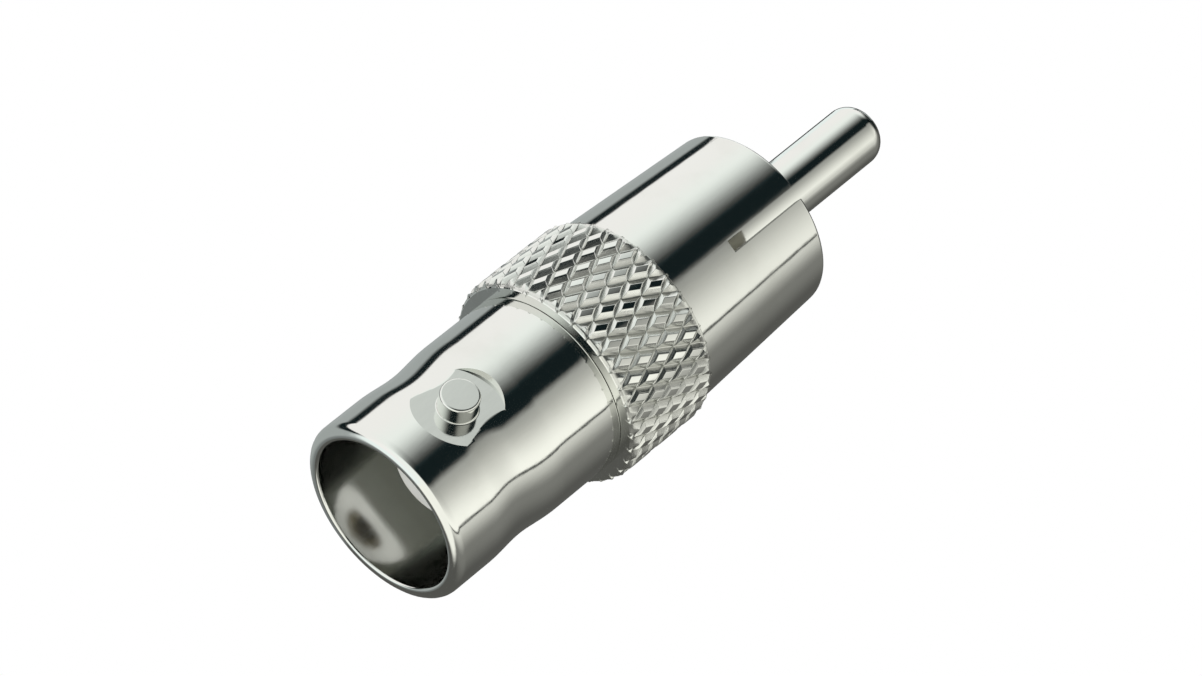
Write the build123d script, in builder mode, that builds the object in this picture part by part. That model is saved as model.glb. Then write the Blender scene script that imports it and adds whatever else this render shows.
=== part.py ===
from build123d import *
import os
from math import cos, pi, radians, sin, tan

# An adapter with a bayonet jack at one end and a phono plug at the other. Sizes are in millimetres and
# degrees. It stands on the mouth of the jack, +Z runs along the axis to the tip of the phono pin, and the
# two lugs lie along Y.

# Bayonet barrel
bore_diameter = 8.15
bore_depth = 8.4
barrel_wall = 0.75
barrel_length = 11.25
rim_bevel = 0.22
mouth_bevel = 0.19
mouth_bevel_depth = 0.4
waist_start = 2.9
waist_middle = 5.0
waist_end = 7.2
waist_depth = 0.16
rear_swell = 0.03
web_thickness = 1.3

# Spigot behind the barrel, pressed into the collar
spigot_wall = 1.2
spigot_length = 4.6
spigot_lead = 0.3

# Lugs, each in the round flat that the hollow mill leaves
lug_diameter = 1.95
lug_station = 4.35
lug_reach = 0.67
lug_edge_bevel = 0.12
spot_face_diameter = 4.3
spot_face_depth = 0.28

# Insulator of the jack
post_diameter = 4.7
post_recess = 3.0
post_edge_bevel = 0.12
flange_step = 0.75
flange_thickness = 2.4

# Socket contact of the jack
contact_bore_diameter = 1.35
contact_bore_depth = 5.2
contact_wall = 0.4
contact_recess = 0.3
contact_slit_width = 0.25
contact_slit_length = 3.8
contact_flange_step = 0.3
contact_flange_thickness = 0.6
tail_diameter = 1.5
tail_length = 3.0

# Phono shell: the open end, its taper and the step up to the collar
cavity_diameter = 8.3
cavity_depth = 6.45
shell_rim_wall = 0.695
shell_taper = 0.46
shell_rim_bevel = 0.1
lip_thickness = 0.8
lip_step = 0.7
slot_width = 0.75
slot_length = 4.6
slot_turn = 27

# Knurled collar at the front of the shell
collar_step = 0.355
collar_length = 5.8
tooth_end_bevel = 0.18
knurl_count = 36
knurl_helix = 27
groove_depth = 0.22
groove_floor = 0.08
groove_flank = 42
tooth_sink = 0.025

# Insulator of the plug
disc_thickness = 3.2
nose_reach = 0.35
pin_seat_depth = 1.0

# Phono pin
pin_diameter = 3.15
pin_reach = 8.95
pin_tip_round = 1.05
pin_shank_step = 0.2
pin_flange_step = 0.35
pin_flange_thickness = 0.8
tail_bore_clearance = 0.5

# Clearance between pieces that fit one inside the other
fit_gap = 0.02

# Radii from the axis
bore_radius = bore_diameter / 2
barrel_radius = bore_radius + barrel_wall
barrel_rear_radius = barrel_radius + rear_swell
waist_radius = barrel_radius - waist_depth
post_radius = post_diameter / 2
pocket_radius = post_radius + flange_step
spigot_radius = pocket_radius + spigot_wall
contact_radius = contact_bore_diameter / 2 + contact_wall
contact_flange_radius = contact_radius + contact_flange_step
cavity_radius = cavity_diameter / 2
shell_rim_radius = cavity_radius + shell_rim_wall
shell_root_radius = shell_rim_radius + shell_taper
collar_radius = shell_root_radius + collar_step
collar_bore_radius = spigot_radius + fit_gap
lip_radius = collar_bore_radius - lip_step
pin_radius = pin_diameter / 2
pin_shank_radius = pin_radius + pin_shank_step
pin_flange_radius = pin_shank_radius + pin_flange_step

# Stations along the axis, from the mouth
web_rear = bore_depth + web_thickness
flange_rear = web_rear + flange_thickness
spigot_rear = barrel_length + spigot_length
collar_rear = barrel_length + collar_length
lip_front = spigot_rear + disc_thickness
lip_rear = lip_front + lip_thickness
nose_rear = lip_rear + nose_reach
shell_rim = lip_rear + cavity_depth
contact_front = post_recess + contact_recess
tail_rear = flange_rear + tail_length
pin_seat = flange_rear + pin_seat_depth
pin_front = pin_seat - pin_flange_thickness
pin_tip = shell_rim + pin_reach


with BuildPart() as bayonet_body:
    with BuildSketch(Plane.XZ):
        with BuildLine():
            waist = ThreePointArc(
                (barrel_radius, waist_start),
                (waist_radius, waist_middle),
                (barrel_rear_radius, waist_end),
            )
            Polyline(
                waist @ 1,
                (barrel_rear_radius, barrel_length),
                (spigot_radius, barrel_length),
                (spigot_radius, spigot_rear),
                (pocket_radius, spigot_rear),
                (pocket_radius, web_rear),
                (post_radius + fit_gap, web_rear),
                (post_radius + fit_gap, bore_depth),
                (bore_radius, bore_depth),
                (bore_radius, 0),
                (barrel_radius, 0),
                waist @ 0,
            )
        make_face()
    revolve(axis=Axis.Z)
    mouth_edges = bayonet_body.edges().group_by(Axis.Z)[0].sort_by(SortBy.RADIUS)
    chamfer(mouth_edges[0], length=mouth_bevel_depth, length2=mouth_bevel)
    chamfer(mouth_edges[-1], length=rim_bevel)
    chamfer(bayonet_body.edges().group_by(Axis.Z)[-1].sort_by(SortBy.RADIUS)[-1], length=spigot_lead)

    # The flats are milled first, and the lugs then rise from inside the wall that is left under them.
    lug_planes = [
        Plane(origin=(0, 0, lug_station), x_dir=(side, 0, 0), z_dir=(0, -side, 0))
        for side in (1, -1)
    ]
    flat_radius = waist_radius - spot_face_depth
    with BuildSketch(*[plane.offset(flat_radius) for plane in lug_planes]):
        Circle(spot_face_diameter / 2)
    extrude(amount=barrel_radius, mode=Mode.SUBTRACT)
    lug_foot = (bore_radius + flat_radius) / 2
    lug_tip = barrel_radius + lug_reach
    with BuildSketch(*[plane.offset(lug_foot) for plane in lug_planes]):
        Circle(lug_diameter / 2)
    extrude(amount=lug_tip - lug_foot)
    lug_faces = bayonet_body.faces().filter_by(Axis.Y).sort_by(Axis.Y)
    chamfer(lug_faces[0].edges() + lug_faces[-1].edges(), length=lug_edge_bevel)

bayonet_body.part.label = "bayonet_body"


with BuildPart() as bayonet_insulator:
    contact_seat = flange_rear - contact_flange_thickness
    with BuildSketch(Plane.XZ):
        with BuildLine():
            Polyline(
                (contact_radius + fit_gap, post_recess),
                (post_radius, post_recess),
                (post_radius, web_rear),
                (pocket_radius - fit_gap, web_rear),
                (pocket_radius - fit_gap, flange_rear),
                (contact_flange_radius + fit_gap, flange_rear),
                (contact_flange_radius + fit_gap, contact_seat),
                (contact_radius + fit_gap, contact_seat),
                close=True,
            )
        make_face()
    revolve(axis=Axis.Z)
    chamfer(bayonet_insulator.edges().group_by(Axis.Z)[0].sort_by(SortBy.RADIUS)[-1], length=post_edge_bevel)

bayonet_insulator.part.label = "bayonet_insulator"


with BuildPart() as bayonet_contact:
    with BuildSketch(Plane.XZ):
        with BuildLine():
            Polyline(
                (0, contact_front + contact_bore_depth),
                (contact_bore_diameter / 2, contact_front + contact_bore_depth),
                (contact_bore_diameter / 2, contact_front),
                (contact_radius, contact_front),
                (contact_radius, contact_seat),
                (contact_flange_radius, contact_seat),
                (contact_flange_radius, flange_rear),
                (tail_diameter / 2, flange_rear),
                (tail_diameter / 2, tail_rear),
                (0, tail_rear),
                close=True,
            )
        make_face()
    revolve(axis=Axis.Z)
    # One cut across the mouth of the socket leaves two springing halves.
    with BuildSketch(Plane.XY.offset(contact_front)):
        Rectangle(contact_slit_width, 2 * contact_flange_radius)
    extrude(amount=contact_slit_length, mode=Mode.SUBTRACT)

bayonet_contact.part.label = "bayonet_contact"


# A knurl tooth is a rhombus between four crossing grooves, drawn below the floor of the grooves.
floor_radius = collar_radius - groove_depth
foot_radius = floor_radius - tooth_sink
half_pitch = pi * collar_radius / knurl_count
row_pitch = half_pitch / tan(radians(knurl_helix))
foot_inradius = (
    half_pitch * cos(radians(knurl_helix)) * foot_radius / collar_radius - groove_floor / 2 + tooth_sink
)
tooth_half_length = foot_inradius / sin(radians(knurl_helix))
tooth_half_width = foot_inradius / cos(radians(knurl_helix))

with BuildPart() as knurl_tooth:
    with BuildSketch():
        Polygon(
            (tooth_half_length, 0),
            (0, tooth_half_width),
            (-tooth_half_length, 0),
            (0, -tooth_half_width),
            align=None,
        )
    extrude(amount=groove_depth + tooth_sink, taper=groove_flank)

# A column holds every second row of teeth. Columns with the odd rows stand half a pitch round.
collar_middle = barrel_length + collar_length / 2
side_rows = int(collar_length / 2 / row_pitch + 1 / 2)
knurl_columns = []
for parity in (0, 1):
    stations = [
        collar_middle + row * row_pitch
        for row in range(-side_rows, side_rows + 1)
        if row % 2 == parity
    ]
    with BuildPart() as knurl_column:
        with Locations(
            *[Plane(origin=(foot_radius, 0, z), x_dir=(0, 0, 1), z_dir=(1, 0, 0)) for z in stations]
        ):
            add(knurl_tooth.part)
        with BuildSketch(Plane.XZ):
            with BuildLine():
                Polyline(
                    (cavity_radius, barrel_length),
                    (collar_radius - tooth_end_bevel, barrel_length),
                    (collar_radius + groove_depth, barrel_length + tooth_end_bevel + groove_depth),
                    (collar_radius + groove_depth, collar_rear - tooth_end_bevel - groove_depth),
                    (collar_radius - tooth_end_bevel, collar_rear),
                    (cavity_radius, collar_rear),
                    close=True,
                )
            make_face()
        extrude(amount=collar_radius, both=True, mode=Mode.INTERSECT)
    knurl_columns.append(knurl_column.part)


with BuildPart() as phono_shell:
    # The core of the collar has one flat under each column of teeth.
    with BuildSketch(Plane.XY.offset(barrel_length)):
        RegularPolygon(floor_radius, knurl_count, major_radius=False, rotation=180 / knurl_count)
    extrude(amount=collar_length)
    with BuildSketch(Plane.XZ):
        with BuildLine():
            Polyline(
                (0, collar_middle),
                (shell_root_radius, collar_middle),
                (shell_root_radius, collar_rear),
                (shell_rim_radius, shell_rim),
                (0, shell_rim),
                close=True,
            )
        make_face()
    revolve(axis=Axis.Z)
    with BuildSketch(Plane.XZ):
        with BuildLine():
            Polyline(
                (0, barrel_length),
                (collar_bore_radius, barrel_length),
                (collar_bore_radius, lip_front),
                (lip_radius, lip_front),
                (lip_radius, lip_rear),
                (cavity_radius, lip_rear),
                (cavity_radius, shell_rim),
                (0, shell_rim),
                close=True,
            )
        make_face()
    revolve(axis=Axis.Z, mode=Mode.SUBTRACT)
    rim_edges = phono_shell.edges().group_by(Axis.Z)[-1]
    chamfer(rim_edges, length=shell_rim_bevel)
    # One cut across the rim makes both slots. They are turned from the lugs about the axis.
    with BuildSketch(Plane.XY.offset(shell_rim)):
        Rectangle(slot_width, 2 * collar_radius, rotation=slot_turn)
    extrude(amount=-slot_length, mode=Mode.SUBTRACT)
    with PolarLocations(0, knurl_count):
        add([knurl_columns[0], knurl_columns[1].rotate(Axis.Z, 180 / knurl_count)])

phono_shell.part.label = "phono_shell"


with BuildPart() as phono_insulator:
    with BuildSketch(Plane.XZ):
        with BuildLine():
            Polyline(
                (pin_flange_radius + fit_gap, flange_rear),
                (pocket_radius - fit_gap, flange_rear),
                (pocket_radius - fit_gap, spigot_rear),
                (spigot_radius, spigot_rear),
                (spigot_radius, lip_front),
                (lip_radius - fit_gap, lip_front),
                (lip_radius - fit_gap, nose_rear),
                (pin_shank_radius + fit_gap, nose_rear),
                (pin_shank_radius + fit_gap, pin_seat),
                (pin_flange_radius + fit_gap, pin_seat),
                close=True,
            )
        make_face()
    revolve(axis=Axis.Z)

phono_insulator.part.label = "phono_insulator"


# The pin is thicker inside the insulator and steps down flush with its nose.
with BuildPart() as phono_pin:
    with BuildSketch(Plane.XZ):
        with BuildLine():
            Polyline(
                (0, tail_rear + tail_bore_clearance),
                (tail_diameter / 2 + fit_gap, tail_rear + tail_bore_clearance),
                (tail_diameter / 2 + fit_gap, pin_front),
                (pin_flange_radius, pin_front),
                (pin_flange_radius, pin_seat),
                (pin_shank_radius, pin_seat),
                (pin_shank_radius, nose_rear),
                (pin_radius, nose_rear),
                (pin_radius, pin_tip),
                (0, pin_tip),
                close=True,
            )
        make_face()
    revolve(axis=Axis.Z)
    fillet(phono_pin.edges().group_by(Axis.Z)[-1], radius=pin_tip_round)

phono_pin.part.label = "phono_pin"


os.makedirs("parts", exist_ok=True)
for piece in (bayonet_body, bayonet_insulator, bayonet_contact, phono_shell, phono_insulator, phono_pin):
    export_step(piece.part, f"parts/{piece.part.label}.step")
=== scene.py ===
from math import cos, pi, radians, sin, tan

import bmesh
import bpy
from mathutils import Matrix, Vector


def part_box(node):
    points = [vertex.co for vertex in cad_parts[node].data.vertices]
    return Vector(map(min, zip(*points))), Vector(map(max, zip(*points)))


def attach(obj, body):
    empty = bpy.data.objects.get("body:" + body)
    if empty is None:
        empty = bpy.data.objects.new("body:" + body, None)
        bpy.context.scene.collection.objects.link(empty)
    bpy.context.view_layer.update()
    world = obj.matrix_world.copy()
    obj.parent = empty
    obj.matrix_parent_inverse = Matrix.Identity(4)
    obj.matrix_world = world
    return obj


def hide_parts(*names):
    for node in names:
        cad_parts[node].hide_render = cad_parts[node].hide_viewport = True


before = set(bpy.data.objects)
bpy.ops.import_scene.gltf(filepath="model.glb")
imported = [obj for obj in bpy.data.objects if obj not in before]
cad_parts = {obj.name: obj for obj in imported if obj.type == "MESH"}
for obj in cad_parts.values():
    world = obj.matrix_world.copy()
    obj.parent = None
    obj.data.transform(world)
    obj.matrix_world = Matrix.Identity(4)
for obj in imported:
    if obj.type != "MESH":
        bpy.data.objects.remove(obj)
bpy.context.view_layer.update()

# A metal adapter with a bayonet jack at one end and a phono plug at the other. It stands on the mouth of the
# jack, and +Z runs along its axis. Pieces are modelled in millimetres and brought down to metres at the end.
mm = 0.001


def box_mm(node):
    """The lowest and the highest corner of a CAD node, in millimetres."""
    lowest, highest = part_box(node)
    return lowest / mm, highest / mm


body_highest = box_mm("bayonet_body")[1]
shell_lowest, shell_highest = box_mm("phono_shell")
pin_lowest, pin_highest = box_mm("phono_pin")
jack_insulator_lowest, jack_insulator_highest = box_mm("bayonet_insulator")
plug_insulator_highest = box_mm("phono_insulator")[1]
contact_highest = box_mm("bayonet_contact")[1]

fit_gap = 0.02
near = fit_gap / 4  # a point is at a place when it is this close to it
weld = fit_gap / 20  # points this close to each other become one
around = 192  # facets round a turned piece

# Bayonet barrel
barrel_swell = 0.03
barrel_rear_radius = body_highest.x
barrel_radius = barrel_rear_radius - barrel_swell
barrel_length = shell_lowest.z
barrel_wall = 0.75
bore_radius = barrel_radius - barrel_wall
bore_depth = 8.4
web_thickness = 1.3
web_rear = bore_depth + web_thickness
web_hole_radius = 2.37
spigot_radius = 4.3
spigot_rear = body_highest.z
pocket_radius = jack_insulator_highest.x + fit_gap
rim_round = 0.5
mouth_bevel = 0.12
shoulder_bevel = 0.1

# Waist of the barrel, and the rings of points that its wall is drawn through
waist_start = 2.7
waist_end = 7.4
waist_depth = 0.16
waist_rings = 26
front_ring_heights = [1.0, 1.8]
rear_rings = 4
rear_rings_start = waist_end + 0.9

# Lugs and the round flats that they stand in
lug_radius = 0.975
lug_station = 4.35
lug_tip = body_highest.y
lug_edge = 0.12
lug_foot_round = 0.07
spot_face_radius = 2.2
spot_face_flare = 0.2
spot_face_depth = 0.19
flat_radius = barrel_radius - waist_depth - spot_face_depth

# Phono shell
shell_rim = shell_highest.z
collar_radius = shell_highest.x
collar_length = 5.8
collar_rear = barrel_length + collar_length
collar_bore_radius = spigot_radius + fit_gap
cavity_radius = 4.15
shell_rim_wall = 0.695
shell_rim_radius = cavity_radius + shell_rim_wall
shell_taper = 0.46
shell_root_radius = shell_rim_radius + shell_taper
lip_front = 19.05
lip_length = 0.8
lip_rear = lip_front + lip_length
lip_step = 0.7
lip_radius = collar_bore_radius - lip_step
shell_rim_round = 0.24
shell_bore_round = 0.1
slot_width = 0.75
slot_length = 5.2
slot_turn = radians(27)

# Knurl of the collar
knurl_count = 36
knurl_row_pairs = 5
knurl_helix = radians(27)
knurl_turn = radians(-2)
groove_depth = 0.22
groove_floor = 0.05
groove_flank = 0.25
cross_groove_rise = 0.08
tooth_stretch = 0.14
tooth_edge = 0.025
tooth_foot = 7 / 8  # where the foot of a tooth starts, as a share of the way to its corners
tooth_end_bevel = 0.36
end_band = 0.2
end_band_rise = 0.07
end_chamfer = 0.12
floor_radius = collar_radius - groove_depth
half_pitch = pi * floor_radius / knurl_count
row_pitch = pi * collar_radius / knurl_count / tan(knurl_helix)

# Insulator of the jack
post_set_back = 0.15
post_face = jack_insulator_lowest.z + post_set_back
post_radius = web_hole_radius - fit_gap
post_tip_radius = 2.2
post_tip_length = 2.5
post_tip_round = 0.2
insulator_flange_radius = jack_insulator_highest.x
insulator_flange_rear = jack_insulator_highest.z
contact_flange_radius = contact_highest.x + fit_gap
contact_flange_step = 0.3
contact_flange_length = 0.6
contact_hole_radius = contact_flange_radius - contact_flange_step
contact_seat = insulator_flange_rear - contact_flange_length

# Phono pin
pin_radius = 1.575
pin_tip = pin_highest.z
pin_tip_round = 1.05
pin_shank_step = 0.2
pin_shank_radius = pin_radius + pin_shank_step
pin_shank_end = plug_insulator_highest.z
pin_flange_radius = pin_highest.x
pin_flange_length = 0.8
pin_front = pin_lowest.z
pin_seat = pin_front + pin_flange_length
tail_bore_radius = 0.77
tail_bore_end = 15.6


def pick(piece):
    """Select one piece alone and make it the active one."""
    bpy.ops.object.select_all(action="DESELECT")
    piece.select_set(True)
    bpy.context.view_layer.objects.active = piece


def settle():
    """Move the place, turn and scale of the selected piece into its mesh."""
    bpy.ops.object.transform_apply(location=True, rotation=True, scale=True)


def edit(piece, mode="EDGE"):
    """Open one piece in edit mode with nothing selected."""
    pick(piece)
    bpy.ops.object.mode_set(mode="EDIT")
    bpy.ops.mesh.select_mode(type=mode)
    bpy.ops.mesh.select_all(action="DESELECT")


def close_edit():
    bpy.ops.object.mode_set(mode="OBJECT")


def select(piece, test, kind="edges"):
    """Select the vertices, edges or faces of the open piece that pass the test."""
    mesh = bmesh.from_edit_mesh(piece.data)
    for part in getattr(mesh, kind):
        part.select_set(test(part))
    bmesh.update_edit_mesh(piece.data)


def turned(name, corners, closed=True):
    """Draw the line through (radius, height) corners and spin it about the axis."""
    bpy.ops.object.select_all(action="DESELECT")
    bpy.ops.mesh.primitive_plane_add(size=1)
    piece = bpy.context.object
    piece.name = name
    bpy.ops.object.mode_set(mode="EDIT")
    bpy.ops.mesh.select_mode(type="VERT")
    bpy.ops.mesh.merge(type="CENTER")
    points = [Vector((radius, 0, height)) for radius, height in corners]
    bpy.ops.transform.translate(value=points[0])
    for start, end in zip(points, points[1:]):
        bpy.ops.mesh.extrude_vertices_move(TRANSFORM_OT_translate={"value": end - start})
    if closed:
        select(piece, lambda v: min((v.co - points[0]).length, (v.co - points[-1]).length) < near, "verts")
        bpy.ops.mesh.edge_face_add()
    bpy.ops.mesh.select_all(action="SELECT")
    bpy.ops.mesh.spin(steps=around, angle=2 * pi, center=(0, 0, 0), axis=(0, 0, 1))
    bpy.ops.mesh.select_all(action="SELECT")
    bpy.ops.mesh.remove_doubles(threshold=weld)
    bpy.ops.mesh.normals_make_consistent(inside=False)
    close_edit()
    return piece


def bevel_ring(piece, radius, height, width, segments):
    """Bevel the ring of edges with that radius and height."""
    edit(piece)
    select(piece, lambda e: all(
        abs(v.co.z - height) < near and abs(v.co.xy.length - radius) < near for v in e.verts
    ))
    bpy.ops.mesh.bevel(offset=width, segments=segments, affect="EDGES")
    close_edit()


def apply(piece, kind, **settings):
    """Give a piece one modifier and apply it."""
    bpy.context.view_layer.objects.active = piece
    modifier = piece.modifiers.new(kind.lower(), kind)
    for setting, value in settings.items():
        setattr(modifier, setting, value)
    bpy.ops.object.modifier_apply(modifier=modifier.name)


def combine(piece, tool, operation):
    """Cut a piece with a tool, or weld the tool to it."""
    apply(piece, "BOOLEAN", object=tool, operation=operation, solver="EXACT")
    bpy.data.objects.remove(tool)


def rod(radius, start, end, side, edge=0, flare=0, facets=64):
    """A round rod across the axis at the lugs' station, towards +Y or -Y, with its far edge bevelled."""
    bpy.ops.object.select_all(action="DESELECT")
    bpy.ops.mesh.primitive_cone_add(
        vertices=facets, radius1=radius, radius2=radius + flare, depth=end - start,
        location=(0, side * (start + end) / 2, lug_station), rotation=(-side * pi / 2, 0, 0),
    )
    tool = bpy.context.object
    settle()
    if edge:
        edit(tool)
        select(tool, lambda e: all(abs(abs(v.co.y) - end) < near for v in e.verts))
        bpy.ops.mesh.bevel(offset=edge, segments=3, affect="EDGES")
        close_edit()
    return tool


def shade(piece, crease):
    """Shade a piece smoothly, except across edges that turn by more than the crease, in degrees."""
    pick(piece)
    bpy.ops.object.shade_smooth_by_angle(angle=radians(crease))


def coat(piece, material):
    piece.data.materials.clear()
    piece.data.materials.append(material)


def finished(piece, material, node):
    """Shade a piece, bring it down to metres, and let it stand for its CAD node."""
    shade(piece, 32)
    apply(piece, "WEIGHTED_NORMAL", keep_sharp=True)
    piece.scale = (mm, mm, mm)
    settle()
    coat(piece, material)
    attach(piece, "root")
    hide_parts(node)


def steps(start, end, count):
    """Places from start to end, in equal steps."""
    return [start + (end - start) * i / count for i in range(count + 1)]


def barrel_wall_line():
    """The outside of the barrel as (radius, height) points, with its slight waist."""
    heights = front_ring_heights + steps(waist_start, waist_end, waist_rings)
    heights += steps(rear_rings_start, barrel_length, rear_rings)
    line = [(barrel_radius, 0)]
    for height in heights:
        share = min(max((height - waist_start) / (waist_end - waist_start), 0), 1)
        line.append((barrel_radius + barrel_swell * share - waist_depth * sin(pi * share) ** 2, height))
    return line


def make_barrel():
    """The bayonet barrel: a turned tube with two milled flats and a lug in each."""
    barrel = turned("bayonet_barrel", barrel_wall_line() + [
        (spigot_radius, barrel_length),
        (spigot_radius, spigot_rear),
        (pocket_radius, spigot_rear),
        (pocket_radius, web_rear),
        (web_hole_radius, web_rear),
        (web_hole_radius, bore_depth),
        (bore_radius, bore_depth),
        (bore_radius, bore_depth / 2),
        (bore_radius, 0),
    ])
    bevel_ring(barrel, barrel_radius, 0, rim_round, segments=6)
    bevel_ring(barrel, bore_radius, 0, mouth_bevel, segments=3)
    bevel_ring(barrel, barrel_rear_radius, barrel_length, shoulder_bevel, segments=2)
    for side in (1, -1):
        flat_mill = rod(spot_face_radius, flat_radius, lug_tip, side, flare=spot_face_flare, facets=128)
        combine(barrel, flat_mill, "DIFFERENCE")
        lug = rod(lug_radius, (bore_radius + flat_radius) / 2, lug_tip, side, edge=lug_edge)
        combine(barrel, lug, "UNION")

    lug_axis = Vector((0, lug_station))

    def at_lug_foot(vertex):
        beside_lug = (vertex.co.xz - lug_axis).length - lug_radius
        return abs(abs(vertex.co.y) - flat_radius) < near and abs(beside_lug) < near

    edit(barrel)
    select(barrel, lambda e: all(at_lug_foot(v) for v in e.verts))
    bpy.ops.mesh.bevel(offset=lug_foot_round, segments=3, affect="EDGES")
    close_edit()
    return barrel


def raise_cross_grooves(tooth):
    """Make the grooves of one hand shallower than those of the other, between their crossings."""
    def on_floor(vertex):
        return vertex.co.y > -near

    def beside_groove(vertex):
        x, z = vertex.co.x / half_pitch, vertex.co.z / row_pitch
        return abs(x) + abs(z) > tooth_foot and x * z > 0

    def at_crossing(vertex):
        return abs(vertex.co.x * vertex.co.z) < weld

    def along_groove(edge):
        run = edge.verts[0].co - edge.verts[1].co
        return run.x * run.z < 0 and all(
            on_floor(v) and (beside_groove(v) or at_crossing(v)) for v in edge.verts
        )

    select(tooth, along_groove)
    bpy.ops.mesh.subdivide(number_cuts=4)
    select(tooth, lambda v: on_floor(v) and beside_groove(v), "verts")
    bpy.ops.transform.translate(value=(0, -cross_groove_rise, 0))


def knurl_strip():
    """The knurl, laid out flat along X with its teeth towards -Y, one tooth copied in rows."""
    bpy.ops.object.select_all(action="DESELECT")
    bpy.ops.mesh.primitive_circle_add(vertices=4, radius=1, fill_type="NGON", rotation=(pi / 2, 0, 0))
    strip = bpy.context.object
    strip.name = "knurl"
    settle()
    edit(strip, "FACE")
    bpy.ops.mesh.select_all(action="SELECT")
    bpy.ops.transform.resize(value=(half_pitch, 1, row_pitch), center_override=(0, 0, 0))
    bpy.ops.mesh.inset(thickness=groove_floor / 2)
    bpy.ops.mesh.inset(thickness=groove_flank, depth=groove_depth)

    # The teeth are longer along the rows, so the cross grooves are narrower.
    def on_top(vertex):
        return vertex.co.y < -groove_depth / 2

    bpy.ops.mesh.select_mode(type="VERT")
    along_row = tooth_stretch * Vector((half_pitch, 0, row_pitch)).normalized()
    for way in (1, -1):
        select(strip, lambda v: on_top(v) and way * (v.co.x + v.co.z) > 0, "verts")
        bpy.ops.transform.translate(value=way * along_row)
    bpy.ops.mesh.select_mode(type="EDGE")
    select(strip, lambda e: any(on_top(v) for v in e.verts))
    bpy.ops.mesh.bevel(offset=tooth_edge, segments=2, affect="EDGES")
    raise_cross_grooves(strip)

    # The rows come in pairs, and the second row of a pair stands half a pitch along.
    bpy.ops.mesh.select_all(action="SELECT")
    bpy.ops.transform.translate(value=(0, 0, (barrel_length + collar_rear) / 2))
    bpy.ops.mesh.duplicate_move(TRANSFORM_OT_translate={"value": (half_pitch, 0, row_pitch)})
    bpy.ops.mesh.select_all(action="SELECT")
    bpy.ops.transform.translate(value=(0, 0, (1 - knurl_row_pairs) * row_pitch))
    close_edit()
    for offset, count in (
        (Vector((2 * half_pitch, 0, 0)), knurl_count),
        (Vector((0, 0, 2 * row_pitch)), knurl_row_pairs),
    ):
        apply(
            strip, "ARRAY", count=count, use_relative_offset=False, use_constant_offset=True,
            constant_offset_displace=offset, use_merge_vertices=True, merge_threshold=weld,
        )
    return strip


def trim_strip(strip):
    """Cut the strip to the length of the collar, and lower both its ends to a plain band with a chamfer."""
    for end, outwards in ((barrel_length, -1), (collar_rear, 1)):
        for inset in (tooth_end_bevel, end_band, end_chamfer, 0):
            edit(strip)
            bpy.ops.mesh.select_all(action="SELECT")
            bpy.ops.mesh.bisect(
                plane_co=(0, 0, end - outwards * inset), plane_no=(0, 0, outwards),
                clear_outer=inset == 0, threshold=weld,
            )
            close_edit()
    for vertex in strip.data.vertices:
        reach = min(vertex.co.z - barrel_length, collar_rear - vertex.co.z)
        if reach < near:
            vertex.co.y = end_chamfer - end_band_rise
        elif reach < end_band + near:
            vertex.co.y = -end_band_rise
        else:
            vertex.co.y = max(vertex.co.y, end_band - reach - end_band_rise)


def roll_strip(strip):
    """Bend the strip round the axis and close it."""
    # Its zigzag ends reach past each other, so the strip spans a little more than one turn.
    places = [vertex.co.x for vertex in strip.data.vertices]
    turns = (max(places) - min(places)) / (2 * half_pitch * knurl_count)
    apply(strip, "SIMPLE_DEFORM", deform_method="BEND", deform_axis="Z", angle=2 * pi * turns)
    edit(strip)
    bpy.ops.mesh.select_all(action="SELECT")
    bpy.ops.transform.translate(value=(0, -floor_radius, 0))
    bpy.ops.mesh.remove_doubles(threshold=weld)
    close_edit()
    strip.rotation_euler.z = knurl_turn
    settle()


def make_shell():
    """The phono shell: a tapered tube with two slots, and the knurled collar at its front."""
    knurl = knurl_strip()
    trim_strip(knurl)
    roll_strip(knurl)
    shell = turned("phono_shell_and_collar", [
        (floor_radius - tooth_end_bevel, barrel_length),
        (collar_bore_radius, barrel_length),
        (collar_bore_radius, lip_front),
        (lip_radius, lip_front),
        (lip_radius, lip_rear),
        (cavity_radius, lip_rear),
        (cavity_radius, (lip_rear + shell_rim) / 2),
        (cavity_radius, shell_rim),
        (shell_rim_radius, shell_rim),
        ((shell_rim_radius + shell_root_radius) / 2, (shell_rim + collar_rear) / 2),
        (shell_root_radius, collar_rear),
    ], closed=False)
    bevel_ring(shell, shell_rim_radius, shell_rim, shell_rim_round, segments=5)
    bevel_ring(shell, cavity_radius, shell_rim, shell_bore_round, segments=3)
    pick(shell)
    knurl.select_set(True)
    bpy.ops.object.join()
    for height in (barrel_length, collar_rear):
        edit(shell)
        select(shell, lambda e: e.is_boundary and all(abs(v.co.z - height) < near for v in e.verts))
        bpy.ops.mesh.bridge_edge_loops()
        close_edit()
    edit(shell)
    bpy.ops.mesh.select_all(action="SELECT")
    bpy.ops.mesh.normals_make_consistent(inside=False)
    close_edit()
    bpy.ops.object.select_all(action="DESELECT")
    bpy.ops.mesh.primitive_cube_add(
        size=1, scale=(slot_width, 3 * collar_radius, 2 * slot_length), location=(0, 0, shell_rim),
        rotation=(0, 0, slot_turn),
    )
    slot_saw = bpy.context.object
    settle()
    combine(shell, slot_saw, "DIFFERENCE")
    return shell


def make_jack_insulator():
    """The insulator of the jack: a post, tapered towards its rounded end, and the flange behind it."""
    insulator = turned("jack_insulator", [
        (contact_hole_radius, post_face),
        (post_tip_radius, post_face),
        (post_radius, post_face + post_tip_length),
        (post_radius, web_rear),
        (insulator_flange_radius, web_rear),
        (insulator_flange_radius, insulator_flange_rear),
        (contact_flange_radius, insulator_flange_rear),
        (contact_flange_radius, contact_seat),
        (contact_hole_radius, contact_seat),
    ])
    bevel_ring(insulator, post_tip_radius, post_face, post_tip_round, segments=4)
    return insulator


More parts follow.
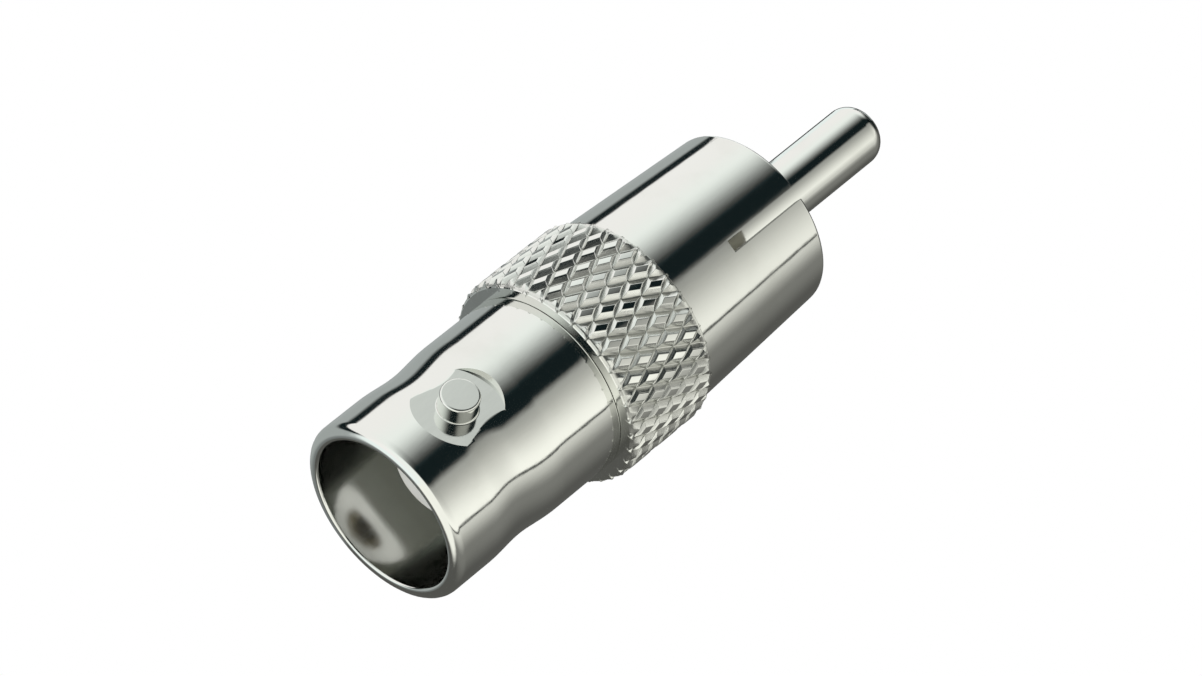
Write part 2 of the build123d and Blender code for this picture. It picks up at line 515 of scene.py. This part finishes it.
def make_pin():
    """The phono pin, with its flange and shank inside the insulator and a domed tip."""
    pin = turned("phono_centre_pin", [
        (0, tail_bore_end),
        (tail_bore_radius, tail_bore_end),
        (tail_bore_radius, pin_front),
        (pin_flange_radius, pin_front),
        (pin_flange_radius, pin_seat),
        (pin_shank_radius, pin_seat),
        (pin_shank_radius, pin_shank_end),
        (pin_radius, pin_shank_end),
        (pin_radius, (pin_shank_end + pin_tip) / 2),
        (pin_radius, pin_tip),
        (0, pin_tip),
    ], closed=False)
    bevel_ring(pin, pin_radius, pin_tip, pin_tip_round, segments=14)
    return pin


class Value:
    """A number that varies over a surface. Arithmetic on it adds Math nodes to its finish."""

    def __init__(self, finish, socket):
        self.finish = finish
        self.socket = socket

    def maths(self, operation, *others):
        """Work on this number, and on others where the operation takes more than one."""
        return self.finish.maths(operation, self, *others)

    def __add__(self, other):
        return self.maths("ADD", other)

    def __sub__(self, other):
        return self.maths("SUBTRACT", other)

    def __rsub__(self, other):
        return self.finish.maths("SUBTRACT", other, self)

    def __mul__(self, other):
        return self.maths("MULTIPLY", other)

    __radd__ = __add__
    __rmul__ = __mul__

    def ease(self, low, high, at_low=0, at_high=1):
        """Pass smoothly from one level to another while the number goes from low to high."""
        return self.finish.node(
            "ShaderNodeMapRange", {"interpolation_type": "SMOOTHSTEP"},
            {"Value": self, "From Min": low, "From Max": high, "To Min": at_low, "To Max": at_high},
        )


class Finish:
    """The nodes of a material or of the world."""

    def __init__(self, owner):
        owner.use_nodes = True
        self.owner = owner
        self.tree = owner.node_tree
        self.tree.nodes.clear()

    def node(self, kind, settings=None, inputs=None, output=0):
        """Add a node, set it up, feed its sockets, and return one of its outputs, if it has any."""
        made = self.tree.nodes.new(kind)
        for name, value in (settings or {}).items():
            setattr(made, name, value)
        for key, value in (inputs or {}).items():
            if isinstance(value, Value):
                self.tree.links.new(value.socket, made.inputs[key])
            else:
                made.inputs[key].default_value = value
        return Value(self, made.outputs[output]) if made.outputs else None

    def maths(self, operation, *numbers):
        return self.node("ShaderNodeMath", {"operation": operation}, dict(enumerate(numbers)))

    def mix(self, share, first, second):
        """Blend two colours by a share. The node keeps its colours in sockets of their own."""
        return self.node("ShaderNodeMix", {"data_type": "RGBA"}, {0: share, 6: first, 7: second}, output=2)

    def place(self):
        """Where a point of the surface is on its piece, in metres."""
        return self.node("ShaderNodeTexCoord", output="Object")

    def part(self, place, axis):
        """One coordinate of a place."""
        return self.node("ShaderNodeSeparateXYZ", inputs={"Vector": place}, output=axis)

    def radius_and_height(self, place):
        """How far a point is from the axis, and how far along it, in millimetres."""
        x, y, z = (self.part(place, axis) for axis in "XYZ")
        return (x * x + y * y).maths("SQRT") * (1 / mm), z * (1 / mm)

    def stretched(self, place, across, along):
        """Squeeze or stretch a pattern across the axis and along it."""
        return self.node("ShaderNodeMapping", inputs={"Vector": place, "Scale": (across, across, along)})

    def noise(self, place, scale, detail=2, roughness=0.5):
        return self.node("ShaderNodeTexNoise", inputs={
            "Vector": place, "Scale": scale, "Detail": detail, "Roughness": roughness,
        })

    def bump(self, height):
        """Raise the surface by a height in metres."""
        return self.node("ShaderNodeBump", inputs={"Height": height, "Distance": 1, "Strength": 1})

    def close(self, shader, kind="ShaderNodeOutputMaterial"):
        """End the nodes with a shader, and return the material or the world."""
        self.node(kind, inputs={"Surface": shader})
        return self.owner

    def surface(self, **sockets):
        """Finish the material with a Principled surface."""
        names = {name.replace("_", " ").title(): value for name, value in sockets.items()}
        return self.close(self.node("ShaderNodeBsdfPrincipled", inputs=names))

    def glow(self, colour, level):
        """Finish the material as plain light."""
        return self.close(self.node("ShaderNodeEmission", inputs={"Color": colour, "Strength": level}))


# Colours of the finishes
bright_plate = (0.79, 0.80, 0.77, 1)
stained_plate = (0.69, 0.70, 0.66, 1)
# A darker colour for the grooves of the knurl.
groove_darkening = (0.42, 0.42, 0.38, 1)
# Painted shade: a dark brown for the inside of the shell, where little light reaches.
painted_cavity_shade = (0.26, 0.23, 0.18, 1)
milky_plastic = (0.86, 0.86, 0.82, 1)
smudged_plastic = (0.70, 0.69, 0.64, 1)
# Both golds are darkened as painted shade for the shadow in the socket. The darker one also stands for dull
# patches.
shaded_gold_plate = (0.3, 0.23, 0.12, 1)
dull_shaded_gold_plate = (0.09, 0.07, 0.05, 1)

# Heights of the fine relief, in metres
long_wave_height = 2.2e-6
fine_wave_height = 1.5e-6
groove_relief = 8e-6
turning_mark_height = 4e-6
drawing_mark_height = 3e-6


def plate(finish, place):
    """What all the nickel has: its stains, its colour and the height of the waves that polishing leaves."""
    stain = finish.noise(place, 260, detail=4, roughness=0.6).ease(0.5, 0.75)
    colour = finish.mix(stain * 0.35, bright_plate, stained_plate)
    along = finish.stretched(place, 1, 0.35)
    long_waves = finish.noise(along, 620, detail=3, roughness=0.55)
    fine_waves = finish.noise(along, 3400)
    return stain, colour, long_waves * long_wave_height + fine_waves * fine_wave_height


def nickel(name):
    """Bright nickel plate: nearly a mirror, a little uneven, with faint stains and rubbed spots."""
    finish = Finish(bpy.data.materials.new(name))
    place = finish.place()
    radius, height = finish.radius_and_height(place)
    in_bore = (
        radius.ease(bore_radius + fit_gap, bore_radius + 4 * fit_gap, 1, 0)
        * height.ease(mouth_bevel, mouth_bevel + rim_round)
        * height.ease(bore_depth, web_rear, 1, 0)
    )
    stain, colour, waves = plate(finish, place)
    rubbed = finish.noise(finish.stretched(place, 1, 9), 1500).ease(0.35, 0.8)
    return finish.surface(
        base_color=colour,
        metallic=1,
        roughness=0.07 + rubbed * 0.03 + stain * 0.03 + in_bore * 0.06,
        normal=finish.bump(waves),
    )


def knurled_nickel():
    """The shell's nickel, duller and darker in the grooves of the knurl."""
    finish = Finish(bpy.data.materials.new("knurled nickel"))
    place = finish.place()
    radius, height = finish.radius_and_height(place)
    on_collar = (
        height.ease(barrel_length + fit_gap, barrel_length + 3 * fit_gap)
        - height.ease(collar_rear - 3 * fit_gap, collar_rear - fit_gap)
    ) * radius.ease(floor_radius - 4 * fit_gap, floor_radius - fit_gap)
    in_groove = on_collar * radius.ease(floor_radius, collar_radius - groove_depth / 3, 1, 0)
    off_top = on_collar * radius.ease(collar_radius - 3 * fit_gap, collar_radius - fit_gap, 1, 0)
    in_cavity = radius.ease(cavity_radius + fit_gap, cavity_radius + 4 * fit_gap, 1, 0)
    stain, colour, waves = plate(finish, place)
    # The colour is darker in the grooves of the knurl.
    darker_in_grooves = finish.mix(in_groove * 0.35, colour, groove_darkening)
    ragged = finish.noise(place, 5200, detail=3, roughness=0.6) * off_top * groove_relief
    return finish.surface(
        # Inside the shell the colour turns to a dark brown as painted shade.
        base_color=finish.mix(in_cavity * 0.7, darker_in_grooves, painted_cavity_shade),
        metallic=1,
        roughness=0.08 + off_top * 0.17 + in_groove * 0.06 + in_cavity * 0.25 + stain * 0.03,
        normal=finish.bump(waves + ragged),
    )


def white_insulator():
    """Milky fluoroplastic with faint turning marks and a few grey smudges."""
    finish = Finish(bpy.data.materials.new("white insulator"))
    place = finish.place()
    smudge = finish.noise(place, 900, detail=4, roughness=0.6).ease(0.5, 0.8)
    marks = finish.noise(finish.stretched(place, 1, 12), 2400)
    return finish.surface(
        base_color=finish.mix(smudge * 0.5, milky_plastic, smudged_plastic),
        roughness=0.42 + smudge * 0.15,
        normal=finish.bump(marks * turning_mark_height),
    )


def contact_plate():
    """Gold-coloured plate of the socket contact, dulled in patches. Both its colours are darkened as painted
    shade for the shadow in the socket.
    """
    finish = Finish(bpy.data.materials.new("contact plate"))
    place = finish.place()
    dull = finish.noise(place, 1400, detail=4, roughness=0.6).ease(0.4, 0.75)
    drawn = finish.noise(finish.stretched(place, 6, 1), 1800)
    return finish.surface(
        base_color=finish.mix(dull, shaded_gold_plate, dull_shaded_gold_plate),
        metallic=1,
        roughness=0.24 + dull * 0.2,
        normal=finish.bump(drawn * drawing_mark_height),
    )


# The camera looks up at the mouth of the jack, and the axis rises to the right in its picture. Its place is
# given in millimetres along its own right, up and back.
camera_side = radians(-68)
camera_drop = radians(32.21)
camera_roll = radians(38.86)
camera_right, camera_up, camera_back = 10.12, 8.19, 239.8
camera_lens = 155.74

facing = Vector((cos(camera_side), sin(camera_side), 0))
sideways = Vector((-sin(camera_side), cos(camera_side), 0))
upright = Vector((0, 0, 1))


def make_camera():
    level_up = cos(camera_drop) * upright + sin(camera_drop) * facing
    back = cos(camera_drop) * facing - sin(camera_drop) * upright
    right = sin(camera_roll) * sideways + cos(camera_roll) * level_up
    up = sin(camera_roll) * level_up - cos(camera_roll) * sideways
    bpy.ops.object.camera_add()
    camera = bpy.context.object
    camera.matrix_world = Matrix((right, up, back)).transposed().to_4x4()
    camera.location = (camera_right * right + camera_up * up + camera_back * back) * mm
    camera.data.lens = camera_lens
    camera.data.clip_start = 0.01
    camera.data.clip_end = 10
    bpy.context.scene.camera = camera


# Sizes of the studio, in metres
floor_reach = 0.6
floor_drop = 0.00005
floor_fade_start, floor_fade_end = 0.08, 0.3
tent_radius = 0.8
card_distance = 0.025
card_top = 0.075
lamp_distance = 0.35

# Levels of light in the studio
floor_white = 0.93
flag_level = 0.014
dark_level = 0.06
table_level = 1.1
cloth_level = 1.04
soft_level = 0.45


def grey(level):
    return (level, level, level, 1)


def make_floor():
    """A pale floor that fades into the white backdrop and can be looked through from below."""
    bpy.ops.mesh.primitive_circle_add(
        vertices=96, radius=floor_reach, fill_type="NGON", location=(0, 0, -floor_drop)
    )
    floor = bpy.context.object
    floor.name = "floor"
    finish = Finish(bpy.data.materials.new("pale floor"))
    away = finish.node("ShaderNodeVectorMath", {"operation": "LENGTH"}, {0: finish.place()}, output="Value")
    behind = finish.node("ShaderNodeNewGeometry", output="Backfacing")
    clear = away.ease(floor_fade_start, floor_fade_end).maths("MAXIMUM", behind)
    matt = finish.node("ShaderNodeBsdfDiffuse", inputs={"Color": grey(floor_white)})
    see_through = finish.node("ShaderNodeBsdfTransparent")
    coat(floor, finish.close(finish.node("ShaderNodeMixShader", inputs={0: clear, 1: matt, 2: see_through})))
    floor.visible_diffuse = floor.visible_glossy = floor.visible_transmission = floor.visible_shadow = False


def around_axis(finish):
    """The turn of a point about the axis from the camera's side, and its rise above the level, in degrees."""
    place = finish.place()
    x, y, z = (finish.part(place, axis) for axis in "XYZ")
    ahead = x * facing.x + y * facing.y
    beside = x * sideways.x + y * sideways.y
    away = (ahead * ahead + beside * beside).maths("SQRT")
    in_degrees = 180 / pi
    return beside.maths("ARCTAN2", ahead) * in_degrees, z.maths("ARCTAN2", away) * in_degrees


def cloth_tint(finish, turn):
    """The tint of the cloths: cool far to the left, then neutral, a little green, and warm to the right."""
    left = finish.mix(turn.ease(-124, -114), (0.93, 1, 0.99, 1), (1, 0.985, 0.97, 1))
    middle = finish.mix(turn.ease(-90, -50), left, (0.955, 1, 0.965, 1))
    return finish.mix(turn.ease(-30, 30), middle, (1, 1, 0.93, 1))


def mirrored_only(piece, material):
    """Coat a piece of the stage with light that only shiny surfaces see."""
    coat(piece, material)
    material.cycles.emission_sampling = "NONE"
    piece.visible_camera = piece.visible_diffuse = piece.visible_transmission = piece.visible_shadow = False


def make_tent():
    """The light tent that the plating mirrors: bright cloths, a black flag by the camera, and dark gaps."""
    bpy.ops.mesh.primitive_uv_sphere_add(segments=96, ring_count=48, radius=tent_radius)
    tent = bpy.context.object
    tent.name = "light_tent"
    finish = Finish(bpy.data.materials.new("light tent"))
    turn, rise = around_axis(finish)
    # The seams on the right lean a little.
    turn = turn + rise.ease(24, 49, -1, 14) * turn.ease(10, 60, 0.6, -0.15)

    def cloth(start, end, start_fade, end_fade):
        """The share of a cloth that hangs between two turns from the camera, with soft edges."""
        return turn.ease(start - start_fade / 2, start + start_fade / 2) * turn.ease(
            end - end_fade / 2, end + end_fade / 2, 1, 0)

    far_left = cloth(-190, -126, 1, 8) * turn.ease(-177, -164, 0.2, 0.42)
    left = cloth(-112, -38, 3, 48) * cloth_level
    right = cloth(8, 65, 10, 3) * turn.ease(8, 62, 0.4, 1.15) * rise.ease(30, 44, 1, 0.84)
    far_right = cloth(68, 200, 2, 1) * turn.ease(60, 98, 0.85, 0.21) * turn.ease(98, 140, 1, 0.42)
    roof = rise.ease(64, 80, 1, 0.06)
    table = rise.ease(-51, -39, 1, 0)
    side = far_left + left + right + far_right + flag_level
    level = side * roof * (1 - table) + table * table_level
    # The flag and the gaps are a cold black.
    tint = finish.mix(level.ease(flag_level, dark_level), (0.55, 1, 1.1, 1), cloth_tint(finish, turn))
    mirrored_only(tent, finish.glow(tint, level))


def make_card(name, start, end, low, fade):
    """A card beside the pin, between two turns from the camera. Its light fades from turn to turn."""
    middle = radians((start + end) / 2)
    outwards = cos(middle) * facing + sin(middle) * sideways
    bpy.ops.mesh.primitive_plane_add(size=1)
    card = bpy.context.object
    card.name = name
    card.scale = (2 * card_distance * tan(radians((end - start) / 2)), card_top - low, 1)
    card.rotation_mode = "QUATERNION"
    card.rotation_quaternion = outwards.to_track_quat("Z", "Y")
    card.location = card_distance * outwards + (low + card_top) / 2 * upright
    settle()
    finish = Finish(bpy.data.materials.new(name.replace("_", " ")))
    turn, _ = around_axis(finish)
    mirrored_only(card, finish.glow(cloth_tint(finish, turn), turn.ease(*fade)))


def make_lamps():
    """Soft lamps for the plastic and for the shadow on the floor: two above, and one low by the camera."""
    for turn, rise, width, power in (
        (radians(-120), 0.5, 0.5, 1.6),
        (radians(30), 0.45, 0.7, 0.9),
        (camera_side, -0.25, 0.25, 1.35),
    ):
        bpy.ops.object.light_add(
            type="AREA", location=(lamp_distance * cos(turn), lamp_distance * sin(turn), rise)
        )
        lamp = bpy.context.object
        lamp.data.size = width
        lamp.data.energy = power
        lamp.rotation_mode = "QUATERNION"
        lamp.rotation_quaternion = lamp.location.to_track_quat("Z", "Y")
        lamp.visible_glossy = False


def make_world():
    """White where it is seen or mirrored, and a plain level of soft light for the rest."""
    finish = Finish(bpy.data.worlds.new("studio"))
    seen, mirrored, through = (
        finish.node("ShaderNodeLightPath", output=ray)
        for ray in ("Is Camera Ray", "Is Glossy Ray", "Is Transmission Ray")
    )
    white = (seen + mirrored + through).maths("MINIMUM", 1)
    strength = soft_level + white * (1 - soft_level)
    light = finish.node("ShaderNodeBackground", inputs={"Color": grey(1), "Strength": strength})
    bpy.context.scene.world = finish.close(light, "ShaderNodeOutputWorld")


bpy.context.scene.view_settings.view_transform = "Standard"
make_camera()
make_world()
make_floor()
make_tent()
# Two small cards hide the tent's seams from the pin. Their low edges clear what the shell mirrors.
make_card("left_card", start=-178, end=-110, low=0.0465, fade=(-149, -143, 0.03, cloth_level))
make_card("right_card", start=55, end=77, low=0.0445, fade=(50, 77, cloth_level, 0.676))
make_lamps()

plastic = white_insulator()
finished(make_barrel(), nickel("bright nickel"), "bayonet_body")
finished(make_shell(), knurled_nickel(), "phono_shell")
finished(make_pin(), nickel("pin nickel"), "phono_pin")
finished(make_jack_insulator(), plastic, "bayonet_insulator")

# The hidden insulator and the socket contact keep their CAD shapes and get their own finishes.
for node, material in (("phono_insulator", plastic), ("bayonet_contact", contact_plate())):
    shade(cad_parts[node], 30)
    coat(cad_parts[node], material)
